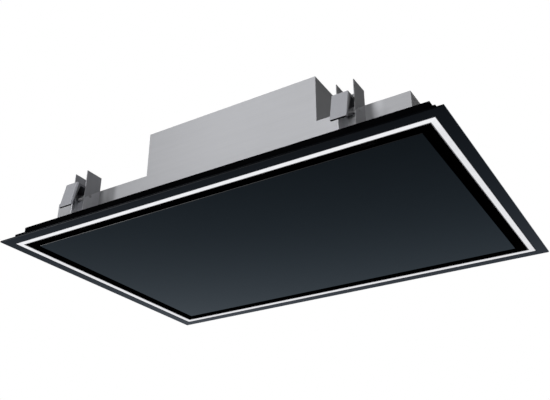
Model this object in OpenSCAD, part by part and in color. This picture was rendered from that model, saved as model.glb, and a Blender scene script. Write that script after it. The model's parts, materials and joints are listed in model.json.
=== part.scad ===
// Ceiling range hood: flush trim plate with a light line, a hinged glass suction panel,
// a stepped sheet-metal body with a radial fan, and spring clamps for a ceiling cut-out.
// Millimetres. +Z is up, +X runs along the long side, the origin is at the centre of the
// trim plate's lower face.

/* [Trim plate] */
// Length of the trim plate, along the long side
trim_l = 900; // [884:1:940]
// Width of the trim plate
trim_w = 600; // [590:1:640]
// Thickness of the trim plate
trim_t = 3; // [2:0.5:4]
// Width of trim that shows outside the light line
rim_w = 20.7; // [19:0.1:23]

/* [Light line] */
// Width of the lit diffuser face
light_w = 11.9; // [10:0.1:13]
// Height of the channel over the trim plate
channel_h = 14.8; // [12:0.1:18]
// Wall of the channel
channel_wall = 2; // [1.2:0.1:2.4]
// Distance between two light chips on the strip
chip_pitch = 40; // [25:1:80]

/* [Collector tray] */
// Height of the tray over its flange
tray_rise = 17; // [15:0.5:24]
// Thickness of the folded sheet of the tray and the body
sheet_t = 1.2; // [0.8:0.1:1.5]
// Free ledge of the tray beyond the ends of the body
ledge_x = 41.1; // [38:0.1:60]
// Free ledge of the tray in front of and behind the body
ledge_y = 40.5; // [39:0.1:50]

/* [Body] */
// Height of the lower box
body_h = 58.5; // [50:0.5:80]
// Height of the fan box on top of it
fanbox_h = 92; // [90:0.5:120]
// Length of the fan box
fanbox_l = 364; // [350:1:400]
// Distance of the fan box from the middle of the hood
fanbox_x = 30; // [0:1:40]

/* [Glass panel] */
// Thickness of the glass
glass_t = 6; // [4:0.5:6]
// Width of the suction slot round the panel
slot_w = 18.7; // [16:0.1:24]
// Height of the edge bars on the back pan
edge_bar_h = 5; // [3:0.5:6]
// Distance of the hinge axis from the far edge of the glass
hinge_inset = 12.6; // [11:0.1:14]
// Height of the hinge axis over the back pan
hinge_rise = 8; // [7.5:0.5:9]
// Radius of the hinge pins
hinge_pin_r = 2.5; // [2:0.1:3]

/* [Grease filters] */
// Distance of the filters from the ends of the tray
filter_end = 72.5; // [68:0.5:120]
// Distance of the filters from the front and the back of the tray
filter_side = 80.5; // [78:0.5:120]
// Thickness of one filter
filter_t = 12; // [10:0.5:13]
// Gap between the two filters
filter_gap = 16; // [12:1:24]
// Travel of a filter latch
filter_latch_travel = 6; // [5:0.5:8]

/* [Ceiling clamps] */
// Distance of a bracket's middle from the end of the body
bracket_inset = 94.4; // [70:0.1:110]
// Width of a bracket over its two cheeks
bracket_w = 32; // [30:0.5:40]
// Reach of a bracket from the body
bracket_reach = 38.5; // [37:0.1:39]
// Height of a bracket's cheeks
bracket_h = 87; // [80:0.5:100]
// Thickness of brackets and clamps
clamp_t = 1.5; // [1.2:0.1:1.8]
// Distance of a clamp's upper edge from the body
clamp_reach = 59; // [58:0.1:60]
// Outward lean of a clamp's front plate
clamp_lean = 11.5; // [9:0.1:12]
// Height of a clamp's front plate
clamp_drop = 52; // [48:0.1:53]
// Radius of a clamp's pivot pin
clamp_pin_r = 2.5; // [2:0.1:2.8]
// Turns of a clamp spring
spring_turns = 4; // [3:1:5]
// Wire diameter of a clamp spring
spring_wire = 1.2; // [1:0.1:1.4]
// Radius of a clamp spring, to the middle of its wire
spring_r = 5; // [4.8:0.1:5.2]

/* [Fan] */
// Outer radius of the impeller
impeller_r = 95; // [85:1:97]
// Height of the impeller
impeller_h = 62; // [50:1:62]
// Number of impeller blades
blade_count = 36; // [24:1:44]
// Outer radius of the scroll where it is widest
scroll_r_max = 150; // [146:1:152]
// Outer radius of the scroll at its tongue
scroll_r_min = 114; // [112:1:118]
// Radius of the inlet mouth
inlet_r = 75; // [60:1:76]
// Radius of the motor shaft
shaft_r = 4; // [3:0.5:5]

/* [Duct outlet] */
// Outer length of the flat duct spigot
duct_l = 218; // [214:1:222]
// Outer height of the flat duct spigot
duct_h = 85; // [82:0.5:86]
// Length of the spigot outside the body
duct_out = 32; // [25:1:36]

/* [Controls and hanging] */
// Room between the control box and the fan box
control_room = 48; // [40:1:70]
// Width of the control box
control_w = 180; // [150:1:190]
// Height of the control box
control_h = 40; // [34:1:60]
// Radius of the bore of the cable gland
gland_r = 4.5; // [3:0.5:5.5]
// Radius of the four hanging holes
hang_r = 4.5; // [3:0.5:5.5]
// Distance of the hanging holes from the ends of the body
hang_end = 34.4; // [28:0.1:60]
// Distance of the hanging holes from the front and the back of the body
hang_side = 40; // [30:0.5:56]

/* [Hidden] */
$fn = 48;

// Named overrun of a cut past the faces it opens
cut = 1;
// Clearance between pieces that move past each other
play = 0.3;
// Radial clearance of a pin in its hole
pin_play = 0.05;
// Open joint between two mitred lengths
mitre_gap = 0.3;

// Heights of the levels, from the ceiling side's lower face upward
channel_top = trim_t + channel_h;
tray_top = channel_top + sheet_t + tray_rise;
tray_under = tray_top - sheet_t;
body_top = tray_top + body_h;
fan_top = body_top + fanbox_h;

// Half sizes in plan, from the trim inward
trim_half = [trim_l / 2, trim_w / 2];
light_half = shrink(trim_half, rim_w);
light_lap = 0.8;
light_lip = 0.8;
channel_half = shrink(light_half, -light_lap - channel_wall);
channel_w = channel_wall + light_lap + light_w + play + light_lip;
slot_half = shrink(light_half, light_w + play + light_lip);
tray_lap = 4.2;
tray_half = shrink(slot_half, -tray_lap);
body_half = [tray_half[0] - ledge_x, tray_half[1] - ledge_y];
panel_half = shrink(slot_half, slot_w);

// Light strip: board section, chip size and depth of the diffuser's rib
strip_w = 8;
strip_t = 1.6;
chip = [5, 3.5, 1];
diffuser_rib = 2;

// Filters and their openings, rails and latches
filter_l = tray_half[0] - filter_end - filter_gap / 2;
filter_w = 2 * (tray_half[1] - filter_side);
filter_x = (filter_l + filter_gap) / 2;
filter_low = tray_under - play - filter_t;
filter_rim = 10;
filter_wall = 1.5;
filter_ledge = 12;
mesh_t = filter_t - 2 * filter_wall - 2 * play;
mesh_bar = 2.4;
mesh_slot = 9.6;
mesh_rows = 4;
filter_latch = [40, 34, 2];
filter_tab = 5;
rail_lip = filter_latch_travel;
rail_back_lip = 8;
guide_t = 1.5;

// Panel: pan, hinge and touch latches
pan_t = 1;
pan_inset = 14;
edge_bar_w = 3;
pan_top = glass_t + pan_t;
hinge_y = panel_half[1] - hinge_inset;
hinge_z = pan_top + hinge_rise;
hinge_end = 97.6;
hinge_x = panel_half[0] - hinge_end;
hinge_eye_r = 5.5;
hinge_lug_t = 4;
hinge_leaf_t = 3;
hinge_gap = 0.5;
hinge_leaf_l = 17;
hinge_base_l = 24;
hinge_base_w = 30;
hinge_base_t = 1.5;
hinge_head_r = 4;
hinge_head_t = 1.2;
touch_x = hinge_x;
touch_inset = 25.6;
touch_y = touch_inset - panel_half[1];
touch_l = 24;
touch_w = 16;
touch_low = 16;
plunger_r = 3;
plunger_l = 17;
magnet_r = 4.5;
magnet_t = 3;

// Body sheets
flange_w = 12;
inlet_hole_r = 100;
hang_x = body_half[0] - hang_end;
hang_y = body_half[1] - hang_side;
fan_left = fanbox_x - fanbox_l / 2;
fan_right = fanbox_x + fanbox_l / 2;

// Fan: its axis, the scroll's levels and the motor
fan_x = fanbox_x - (scroll_r_max - duct_l / 2);
fan_y = scroll_r_max - body_half[1] + flange_w - sheet_t;
scroll_t = 1.5;
scroll_top_z = body_top + duct_h;
scroll_step = 6;
tongue_angle = -233;
duct_run = 179.2;
duct_y = fan_y + duct_run;
mouth_r = 6;
impeller_gap = 3;
impeller_z = body_top + scroll_t + mouth_r + impeller_gap;
impeller_ring = 17;
impeller_t = 2;
blade_t = 1;
blade_inset = 3;
blade_turn = 28;
cup_r = 42;
cup_t = 3;
cup_flange = 10;
cup_rise = 7;
cup_low = impeller_z + cup_rise;
cup_top = impeller_z + impeller_h - impeller_t;
stator_r = 34;
stator_rise = 13;
stator_low = cup_low + stator_rise;
stator_tooth = 7;
stator_teeth = 12;
stator_hub_r = 15;
stator_root = 1;
stator_base_t = 6;
bearing_r = 11;
bearing_t = 7;
shaft_low = cup_low + cup_t;

// Duct outlet, damper and pin
duct_wall = 1.2;
duct_flange = 5;
duct_end = body_half[1] + duct_out;
duct_x = fanbox_x;
damper_in = 25;
damper_y = duct_y + damper_in;
damper_pin_r = 2;
knuckle_r = 4;
flap_t = 1;
flap_inner = 5;
flap_play = 1.3;

// Control box, board, driver and gland
control_gap = 9.4;
control_x = control_gap - body_half[0];
control_y = -60;
control_l = fan_left - control_room - control_x;
control_wall = 1.2;
board_t = 1.6;
board_inset = 12;
post_h = 6;
post_r = 3.5;
relay = [16, 20, 15];
relay_step = 26;
relay_count = 4;
capacitor_r = 9;
capacitor_gap = 5.6;
capacitor_h = control_h - 2 * control_wall - post_h - capacitor_gap;
driver_foot = 12;
driver_short = 6;
driver = [control_l - 2 * driver_foot - driver_short, 40, 25];
driver_front = 60;
driver_y = driver_front - body_half[1];
driver_foot_t = 2;
gland_outer = 8.5;
gland_nut_r = 12;
gland_nut_t = 6;
gland_out = 16;
gland_in = 10;
gland_z = 22;
gland_y = 60;

// Brackets and clamps, in the bracket's own place: y is 0 on the body and grows outward
bracket_x = body_half[0] - bracket_inset;
bracket_half = bracket_w / 2;
pivot_out = 25;
pivot_drop = 22.5;
pivot_z = body_top - pivot_drop;
clamp_half = bracket_half - clamp_t - play;
clamp_top_drop = 6;
clamp_top = body_top - clamp_top_drop;
clamp_tail = 10;
clamp_flange = 9;
clamp_flange_low = 5;
clamp_arm_h = 4.5;
clamp_eye_r = 5.5;
clamp_foot = clamp_reach + clamp_drop * tan(clamp_lean);
clamp_foot_z = clamp_top - clamp_drop;
clamp_lip = 4;
clamp_head_r = 3.4;
clamp_head_t = 0.6;
spring_pitch = 2.2;
spring_sides = 6;
spring_rings = 8;
spring_arm = 33;

// Screws
screw_r = 2;
screw_head_r = 4;
screw_head_t = 1.2;
screw_l = 6;
bracket_screw_low = 14;
bracket_screw_high = 44;
bracket_screw_z = [tray_top + bracket_screw_low, tray_top + bracket_screw_high];
cover_screw_end = 20;
cover_screw_x = [fan_left + cover_screw_end, fanbox_x, fan_right - cover_screw_end];

steel = "#b4b6ba";
black = "#14161a";
aluminium = "#c9ccd0";

function shrink(half, d) = [half[0] - d, half[1] - d];

// Solids shared by many pieces
module slab(half, t) {
    translate([-half[0], -half[1], 0]) cube([2 * half[0], 2 * half[1], t]);
}

module frame(half, w, t) {
    difference() {
        slab(half, t);
        translate([0, 0, -cut]) slab(shrink(half, w), t + 2 * cut);
    }
}

module block(lo, hi) {
    translate(lo) cube(hi - lo);
}

module both_x() {
    children();
    mirror([1, 0, 0]) children();
}

module both_y() {
    children();
    mirror([0, 1, 0]) children();
}

// One side of a mitred ring, drawn in plan along the front edge
module mitred_side(reach, depth, w, t) {
    g = mitre_gap / 2;
    linear_extrude(height = t)
        polygon([
            [g - reach, -depth],
            [reach - g, -depth],
            [reach - w - g, w - depth],
            [w + g - reach, w - depth]
        ]);
}

module mitred_ring(half, w, t) {
    both_y() mitred_side(half[0], half[1], w, t);
    both_x() rotate([0, 0, 90]) mitred_side(half[1], half[0], w, t);
}

// Trim plate and light line
module trim_plate() {
    color(black) frame(trim_half, rim_w - play, trim_t);
}

// The channel's inner wall reaches down as a lip between the light line and the slot
module light_channel() {
    groove_half = shrink(channel_half, channel_wall);
    color(black) {
        translate([0, 0, trim_t]) difference() {
            mitred_ring(channel_half, channel_w, channel_h);
            translate([0, 0, -cut])
                frame(groove_half, channel_w - 2 * channel_wall, channel_h - channel_wall + cut);
        }
        mitred_ring(shrink(slot_half, -light_lip), light_lip, trim_t);
    }
}

module light_diffuser() {
    rib_half = shrink(channel_half, channel_wall + play);
    rib_w = channel_w - 2 * channel_wall - 2 * play;
    color("white") {
        mitred_ring(light_half, light_w, trim_t);
        translate([0, 0, trim_t]) mitred_ring(rib_half, rib_w, diffuser_rib);
    }
}

module light_strip(reach, depth) {
    top = channel_top - channel_wall;
    run = reach - 2 * channel_w;
    chips = floor(2 * run / chip_pitch);
    block([-run, depth - strip_w / 2, top - strip_t], [run, depth + strip_w / 2, top]);
    for (i = [0 : chips])
        translate([(i - chips / 2) * chip_pitch - chip[0] / 2, depth - chip[1] / 2, 0])
            translate([0, 0, top - strip_t - chip[2]]) cube([chip[0], chip[1], chip[2] + strip_t]);
}

module light_strips() {
    middle = shrink(channel_half, channel_w / 2);
    color("ivory") {
        both_y() light_strip(middle[0], -middle[1]);
        both_x() rotate([0, 0, 90]) light_strip(middle[1], -middle[0]);
    }
}

// Collector tray: flange on the channel, upright wall and top with two filter openings
module collector_tray() {
    opening = [filter_l / 2 - filter_ledge, filter_w / 2 - filter_ledge];
    color(black) {
        translate([0, 0, channel_top])
            frame(channel_half, channel_half[0] - tray_half[0] + sheet_t, sheet_t);
        translate([0, 0, channel_top]) frame(tray_half, sheet_t, tray_top - channel_top);
        translate([0, 0, tray_under])
            difference() {
                slab(tray_half, sheet_t);
                both_x() translate([filter_x, 0, -cut]) slab(opening, sheet_t + 2 * cut);
            }
    }
}

// Rails that carry the filters: the front one holds the latches, the back one the edge
module filter_rails() {
    reach = filter_x + filter_l / 2;
    edge = filter_w / 2 + 2 * play;
    front_edge = filter_w / 2 + filter_latch_travel + 2 * play;
    front_low = filter_low - 2 * play - filter_latch[2] - sheet_t;
    back_low = filter_low - play - sheet_t;
    color(steel) {
        block([-reach, edge, back_low], [reach, edge + sheet_t, tray_under]);
        block([-reach, edge - rail_back_lip, back_low], [reach, edge, back_low + sheet_t]);
        block([-reach, -front_edge - sheet_t, front_low], [reach, -front_edge, tray_under]);
        block([-reach, -front_edge, front_low],
              [reach, rail_lip - front_edge, front_low + sheet_t]);
    }
}

// Body sheets
module stepped_sheet() {
    color(steel) {
        rotate([90, 0, 0])
            linear_extrude(height = sheet_t)
                polygon([
                    [-body_half[0], tray_top],
                    [body_half[0], tray_top],
                    [body_half[0], body_top],
                    [fan_right, body_top],
                    [fan_right, fan_top],
                    [fan_left, fan_top],
                    [fan_left, body_top],
                    [-body_half[0], body_top]
                ]);
        block([sheet_t - body_half[0], -sheet_t, tray_top],
              [body_half[0] - sheet_t, flange_w - sheet_t, tray_top + sheet_t]);
        block([fan_left + sheet_t, -sheet_t, fan_top - 2 * sheet_t],
              [fan_right - sheet_t, flange_w - sheet_t, fan_top - sheet_t]);
    }
}

module bracket_screw_holes() {
    for (s = [-1, 1], z = bracket_screw_z)
        translate([s * bracket_x, -cut - 2 * sheet_t, z]) rotate([-90, 0, 0])
            cylinder(r = screw_r + pin_play, h = 2 * cut + 4 * sheet_t);
}

module cover_screw_holes(z, h) {
    for (x = cover_screw_x)
        translate([x, flange_w / 2, z]) cylinder(r = screw_r + pin_play, h = h);
}

module housing_front() {
    color(steel) translate([0, sheet_t - body_half[1], 0])
        difference() {
            stepped_sheet();
            bracket_screw_holes();
            translate([0, -sheet_t, 0])
                cover_screw_holes(fan_top - 2 * sheet_t - cut, sheet_t + 2 * cut);
        }
}

module housing_back() {
    color(steel) mirror([0, 1, 0]) translate([0, sheet_t - body_half[1], 0])
        difference() {
            stepped_sheet();
            bracket_screw_holes();
            translate([0, -sheet_t, 0])
                cover_screw_holes(fan_top - 2 * sheet_t - cut, sheet_t + 2 * cut);
            block([duct_x - duct_l / 2, -sheet_t - cut, body_top],
                  [duct_x + duct_l / 2, cut, scroll_top_z]);
        }
}

module housing_end(s) {
    inner = body_half[1] - sheet_t;
    color(steel) mirror([s < 0 ? 1 : 0, 0, 0]) {
        block([body_half[0] - sheet_t, -inner, tray_top], [body_half[0], inner, body_top]);
        block([body_half[0] - flange_w, flange_w - body_half[1] + play, tray_top],
              [body_half[0] - sheet_t, body_half[1] - flange_w - play, tray_top + sheet_t]);
    }
}

module housing_top_plate() {
    color(steel) difference() {
        translate([0, 0, body_top - sheet_t]) slab(shrink(body_half, sheet_t), sheet_t);
        translate([fan_x, fan_y, body_top - sheet_t - cut])
            cylinder(r = inlet_hole_r, h = sheet_t + 2 * cut);
        for (sx = [-1, 1], sy = [-1, 1])
            translate([sx * hang_x, sy * hang_y, body_top - sheet_t - cut])
                cylinder(r = hang_r, h = sheet_t + 2 * cut);
    }
}

module fan_box_end(s) {
    inner = body_half[1] - sheet_t;
    color(steel) translate([fanbox_x, 0, 0]) mirror([s < 0 ? 1 : 0, 0, 0])
        block([fanbox_l / 2 - sheet_t, -inner, body_top], [fanbox_l / 2, inner, fan_top - sheet_t]);
}

module fan_box_cover() {
    inner = body_half[1] - sheet_t;
    color(steel) difference() {
        block([fan_left, -inner, fan_top - sheet_t], [fan_right, inner, fan_top]);
        both_y() translate([0, -body_half[1], 0])
            cover_screw_holes(fan_top - sheet_t - cut, sheet_t + 2 * cut);
    }
}

// Glass panel with its back pan, hinges and touch latches
module glass_panel() {
    color("#22272d") slab(panel_half, glass_t);
}

module panel_pan() {
    color(black) translate([0, 0, glass_t]) slab(shrink(panel_half, pan_inset), pan_t);
}

// Bars that stiffen the glass along its front edge and its ends
module panel_edge_bars() {
    pan = shrink(panel_half, pan_inset);
    inner = pan[0] - edge_bar_w;
    color(black) translate([0, 0, pan_top]) {
        both_x() block([inner, -pan[1], 0], [pan[0], pan[1] - hinge_base_w, edge_bar_h]);
        block([mitre_gap - inner, -pan[1], 0], [inner - mitre_gap, edge_bar_w - pan[1], edge_bar_h]);
    }
}

module hinge_eye(t) {
    rotate([0, 90, 0]) difference() {
        translate([0, 0, -t / 2]) cylinder(r = hinge_eye_r, h = t);
        translate([0, 0, -t / 2 - cut]) cylinder(r = hinge_pin_r + pin_play, h = t + 2 * cut);
    }
}

module panel_hinge_leaves() {
    leaf_x = hinge_lug_t / 2 + hinge_gap + hinge_leaf_t / 2;
    color(steel) both_x() translate([hinge_x, hinge_y, 0]) {
        block([-leaf_x - hinge_leaf_t / 2, -hinge_leaf_l, pan_top],
              [leaf_x + hinge_leaf_t / 2, hinge_eye_r, pan_top + pan_t]);
        for (s = [-1, 1])
            translate([s * leaf_x, 0, hinge_z]) {
                hinge_eye(hinge_leaf_t);
                difference() {
                    block([-hinge_leaf_t / 2, -hinge_eye_r, pan_top - hinge_z],
                          [hinge_leaf_t / 2, hinge_eye_r, 0]);
                    translate([-hinge_leaf_t, 0, 0]) rotate([0, 90, 0])
                        cylinder(r = hinge_pin_r + pin_play, h = 2 * hinge_leaf_t);
                }
            }
    }
}

module panel_hinge_brackets() {
    color(steel) both_x() translate([hinge_x, hinge_y, 0]) {
        translate([0, 0, tray_under - hinge_base_t])
            slab([hinge_base_w / 2, hinge_base_l / 2], hinge_base_t);
        translate([0, 0, hinge_z]) {
            hinge_eye(hinge_lug_t);
            difference() {
                block([-hinge_lug_t / 2, -hinge_eye_r, 0],
                      [hinge_lug_t / 2, hinge_eye_r, tray_under - hinge_base_t - hinge_z]);
                translate([-hinge_lug_t, 0, 0]) rotate([0, 90, 0])
                    cylinder(r = hinge_pin_r + pin_play, h = 2 * hinge_lug_t);
            }
        }
    }
}

module panel_hinge_pins() {
    reach = hinge_lug_t / 2 + hinge_gap + hinge_leaf_t + play;
    color(aluminium) both_x() translate([hinge_x, hinge_y, hinge_z]) rotate([0, 90, 0]) {
        translate([0, 0, -reach]) cylinder(r = hinge_pin_r, h = 2 * reach);
        for (s = [-1, 1])
            translate([0, 0, s * (reach + hinge_head_t / 2) - hinge_head_t / 2])
                cylinder(r = hinge_head_r, h = hinge_head_t);
    }
}

module touch_latch_bodies() {
    color("#2a2c30") both_x() translate([touch_x, touch_y, 0])
        difference() {
            translate([0, 0, touch_low])
                slab([touch_l / 2, touch_w / 2], tray_under - touch_low);
            translate([0, 0, touch_low - cut])
                cylinder(r = plunger_r + pin_play, h = tray_under - sheet_t - touch_low + cut);
        }
}

module touch_latch_plunger(s) {
    low = pan_top + play;
    color(aluminium) translate([s * touch_x, touch_y, low]) {
        cylinder(r = magnet_r, h = magnet_t);
        cylinder(r = plunger_r, h = plunger_l + magnet_t);
    }
}

// Grease filters
module filter_frame(s) {
    half = [filter_l / 2, filter_w / 2];
    guide_x = filter_latch[0] / 2 + play;
    guide_low = filter_low - 2 * play - filter_latch[2] - guide_t;
    color(aluminium) translate([s * filter_x, 0, 0]) {
        translate([0, 0, filter_low])
            difference() {
                frame(half, filter_rim, filter_t);
                translate([0, 0, filter_wall])
                    frame(shrink(half, filter_wall), filter_rim, filter_t - 2 * filter_wall);
            }
        for (m = [0, 1])
            mirror([m, 0, 0]) translate([0, -half[1], 0]) {
                block([guide_x, 0, guide_low], [guide_x + guide_t, filter_rim, filter_low]);
                block([guide_x - 2 * guide_t, 0, guide_low],
                      [guide_x + guide_t, filter_rim, guide_low + guide_t]);
            }
    }
}

module filter_mesh(s) {
    half = shrink([filter_l / 2, filter_w / 2], filter_wall + play);
    field = shrink([filter_l / 2, filter_w / 2], filter_rim + mesh_slot);
    cols = floor(2 * field[0] / (mesh_slot + mesh_bar));
    row = (2 * field[1] - (mesh_rows - 1) * mesh_bar) / mesh_rows;
    pitch = mesh_slot + mesh_bar;
    color("#9ea2a6") translate([s * filter_x, 0, filter_low + filter_wall + play])
        difference() {
            slab(half, mesh_t);
            for (i = [0 : cols - 1], j = [0 : mesh_rows - 1])
                translate([(i - cols / 2) * pitch + mesh_bar / 2, j * (row + mesh_bar) - field[1], -cut])
                    cube([mesh_slot, row, mesh_t + 2 * cut]);
        }
}

module filter_latch_slider(s) {
    top = filter_low - play;
    inner = filter_latch[1] - filter_latch_travel;
    color(steel) translate([s * filter_x, -filter_w / 2, top - filter_latch[2]]) {
        block([-filter_latch[0] / 2, -filter_latch_travel, 0],
              [filter_latch[0] / 2, inner, filter_latch[2]]);
        block([-filter_latch[0] / 4, inner - filter_latch[2], -filter_tab],
              [filter_latch[0] / 4, inner, 0]);
    }
}

// Scroll: a radius that grows with the angle, then a straight run to the duct
function scroll_radius(a) = scroll_r_max + (scroll_r_max - scroll_r_min) * a / -tongue_angle;

function scroll_points(t) = concat(
    [for (a = [tongue_angle : scroll_step : 0])
        (scroll_radius(a) - t) * [cos(a), sin(a)]],
    [[scroll_r_max - t, 0],
     [scroll_r_max - t, duct_y - fan_y + (t > 0 ? cut : 0)],
     [scroll_r_max + t - duct_l, duct_y - fan_y + (t > 0 ? cut : 0)]]
);

module scroll_outline(t) {
    polygon(scroll_points(t));
}

module scroll_base() {
    color(steel) translate([fan_x, fan_y, body_top]) difference() {
        union() {
            linear_extrude(height = scroll_t) scroll_outline(0);
            rotate_extrude() translate([inlet_r, 0]) polygon([
                [0, 0],
                [mouth_r + scroll_t, 0],
                [mouth_r, scroll_t],
                [scroll_t + scroll_t / 2, mouth_r],
                [scroll_t, mouth_r + scroll_t],
                [0, mouth_r + scroll_t]
            ]);
        }
        translate([0, 0, -cut]) cylinder(r = inlet_r, h = 2 * mouth_r + 2 * cut);
    }
}

module scroll_wall() {
    color(steel) translate([fan_x, fan_y, body_top + scroll_t])
        linear_extrude(height = duct_h - 2 * scroll_t)
            difference() {
                scroll_outline(0);
                scroll_outline(scroll_t);
            }
}

module scroll_top() {
    color(steel) translate([fan_x, fan_y, scroll_top_z - scroll_t])
        linear_extrude(height = scroll_t) scroll_outline(0);
}

// Motor and impeller
module motor_stator() {
    top = scroll_top_z - scroll_t;
    bore_r = bearing_r + pin_play;
    color("#6b5a45") translate([fan_x, fan_y, 0])
        difference() {
            union() {
                translate([0, 0, top - stator_base_t])
                    cylinder(r = cup_r - cup_t, h = stator_base_t);
                translate([0, 0, stator_low])
                    cylinder(r = stator_hub_r, h = top - stator_low);
                for (i = [1 : stator_teeth])
                    rotate([0, 0, i * 360 / stator_teeth])
                        translate([stator_hub_r - stator_root, -stator_tooth / 2, stator_low])
                            cube([stator_r - stator_hub_r, stator_tooth, top - stator_low]);
            }
            translate([0, 0, stator_low - cut]) cylinder(r = bore_r, h = top - stator_low + 2 * cut);
        }
}

module motor_bearings() {
    color("#d8dade") translate([fan_x, fan_y, 0])
        for (z = [stator_low, scroll_top_z - scroll_t - bearing_t - play])
            translate([0, 0, z]) difference() {
                cylinder(r = bearing_r, h = bearing_t);
                translate([0, 0, -cut]) cylinder(r = shaft_r + pin_play, h = bearing_t + 2 * cut);
            }
}

module motor_shaft() {
    color("#e2e4e8") translate([fan_x, fan_y, shaft_low])
        cylinder(r = shaft_r, h = scroll_top_z - scroll_t - play - shaft_low);
}

module motor_rotor_cup() {
    color("#8d9096") translate([fan_x, fan_y, cup_low]) {
        cylinder(r = cup_r, h = cup_t);
        difference() {
            union() {
                cylinder(r = cup_r, h = cup_top - cup_low);
                translate([0, 0, cup_top - cup_low - cup_t])
                    cylinder(r = cup_r + cup_flange, h = cup_t);
            }
            translate([0, 0, cup_t]) cylinder(r = cup_r - cup_t, h = cup_top - cup_low);
        }
    }
}

module impeller() {
    inner_r = impeller_r - impeller_ring;
    color("#30343a") translate([fan_x, fan_y, impeller_z]) {
        difference() {
            cylinder(r = impeller_r, h = impeller_t);
            translate([0, 0, -cut]) cylinder(r = inner_r, h = impeller_t + 2 * cut);
        }
        translate([0, 0, impeller_h - impeller_t]) difference() {
            cylinder(r = impeller_r, h = impeller_t);
            translate([0, 0, -cut]) cylinder(r = cup_r + play, h = impeller_t + 2 * cut);
        }
        for (i = [1 : blade_count])
            rotate([0, 0, i * 360 / blade_count])
                translate([inner_r + blade_t, 0, 0])
                    rotate([0, 0, blade_turn])
                        cube([impeller_ring - blade_inset, blade_t, impeller_h - blade_t]);
    }
}

// Duct outlet with two spring-closed flaps on one pin
module outlet_duct() {
    half = [duct_l / 2, duct_h / 2];
    middle = body_top + duct_h / 2;
    color(aluminium) difference() {
        union() {
            block([duct_x - half[0], duct_y, body_top], [duct_x + half[0], duct_end, scroll_top_z]);
            block([duct_x - half[0] - duct_flange, body_half[1], body_top - duct_flange],
                  [duct_x + half[0] + duct_flange, body_half[1] + sheet_t, scroll_top_z + duct_flange]);
        }
        block([duct_x + duct_wall - half[0], duct_y - cut, body_top + duct_wall],
              [duct_x + half[0] - duct_wall, duct_end + cut, scroll_top_z - duct_wall]);
        translate([duct_x, damper_y, middle - half[1] - cut])
            cylinder(r = damper_pin_r + pin_play, h = duct_h + 2 * cut);
    }
}

module damper_pin() {
    color(steel) translate([duct_x, damper_y, body_top + play])
        cylinder(r = damper_pin_r, h = duct_h - 2 * play);
}

// Each flap has its knuckle on one half of the pin's height
module damper_flap(s) {
    low = body_top + duct_wall + flap_play;
    high = scroll_top_z - duct_wall - flap_play;
    middle = (low + high) / 2;
    reach = duct_l / 2 - duct_wall - flap_play;
    from = s < 0 ? low : middle + play / 2;
    to = s < 0 ? middle - play / 2 : high;
    color("#c2c5c9") translate([duct_x, damper_y, 0]) mirror([s < 0 ? 1 : 0, 0, 0])
        difference() {
            union() {
                translate([0, 0, from]) cylinder(r = knuckle_r, h = to - from);
                block([flap_inner, -flap_t / 2, low], [reach, flap_t / 2, high]);
                block([0, -flap_t / 2, from], [flap_inner, flap_t / 2, to]);
            }
            translate([0, 0, low - cut])
                cylinder(r = damper_pin_r + pin_play, h = high - low + 2 * cut);
        }
}

// Control box with its board, and the driver of the light line
module control_box() {
    color(steel) translate([control_x, control_y, body_top])
        difference() {
            cube([control_l, control_w, control_h - control_wall]);
            translate([control_wall, control_wall, control_wall])
                cube([control_l - 2 * control_wall, control_w - 2 * control_wall, control_h]);
            translate([-cut, gland_y, gland_z]) rotate([0, 90, 0])
                cylinder(r = gland_outer + pin_play, h = control_wall + 2 * cut);
        }
}

module control_box_lid() {
    color(steel) translate([control_x, control_y, body_top + control_h - control_wall])
        cube([control_l, control_w, control_wall]);
}

module control_board() {
    area = [control_l - 2 * board_inset, control_w - 2 * board_inset, board_t];
    color("#2f6b3c") translate([control_x + board_inset, control_y + board_inset, body_top + control_wall]) {
        translate([0, 0, post_h]) cube(area);
        for (x = [board_inset, area[0] - board_inset], y = [board_inset, area[1] - board_inset])
            translate([x, y, 0]) cylinder(r = post_r, h = post_h);
        for (i = [0 : relay_count - 1])
            translate([area[0] - relay[0] - board_inset, board_inset + i * relay_step, post_h])
                cube(relay);
        translate([area[0] / 2, area[1] - 2 * capacitor_r, post_h])
            cylinder(r = capacitor_r, h = capacitor_h);
    }
}

module led_driver() {
    color("#e4e6e8") translate([control_x, driver_y, body_top]) {
        translate([driver_foot, 0, 0]) cube(driver);
        cube([driver[0] + 2 * driver_foot, driver[1], driver_foot_t]);
    }
}

module cable_gland() {
    color("#3a3d42") translate([control_x, control_y + gland_y, body_top + gland_z])
        rotate([0, -90, 0]) difference() {
            union() {
                translate([0, 0, -gland_in]) cylinder(r = gland_outer, h = gland_in + gland_out);
                cylinder(r = gland_nut_r, h = gland_nut_t, $fn = 6);
                translate([0, 0, -control_wall - gland_nut_t])
                    cylinder(r = gland_nut_r, h = gland_nut_t, $fn = 6);
            }
            translate([0, 0, -gland_in - cut]) cylinder(r = gland_r, h = gland_in + gland_out + 2 * cut);
        }
}

// Brackets and clamps are drawn at the origin with the body's face at y = 0, pointing to -Y
module at_corner(sx, sy) {
    mirror([0, sy > 0 ? 1 : 0, 0])
        translate([sx * bracket_x, -body_half[1], 0]) children();
}

module pin_hole(half) {
    translate([-half - cut, -pivot_out, pivot_z]) rotate([0, 90, 0])
        cylinder(r = clamp_pin_r + pin_play, h = 2 * half + 2 * cut);
}

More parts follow.
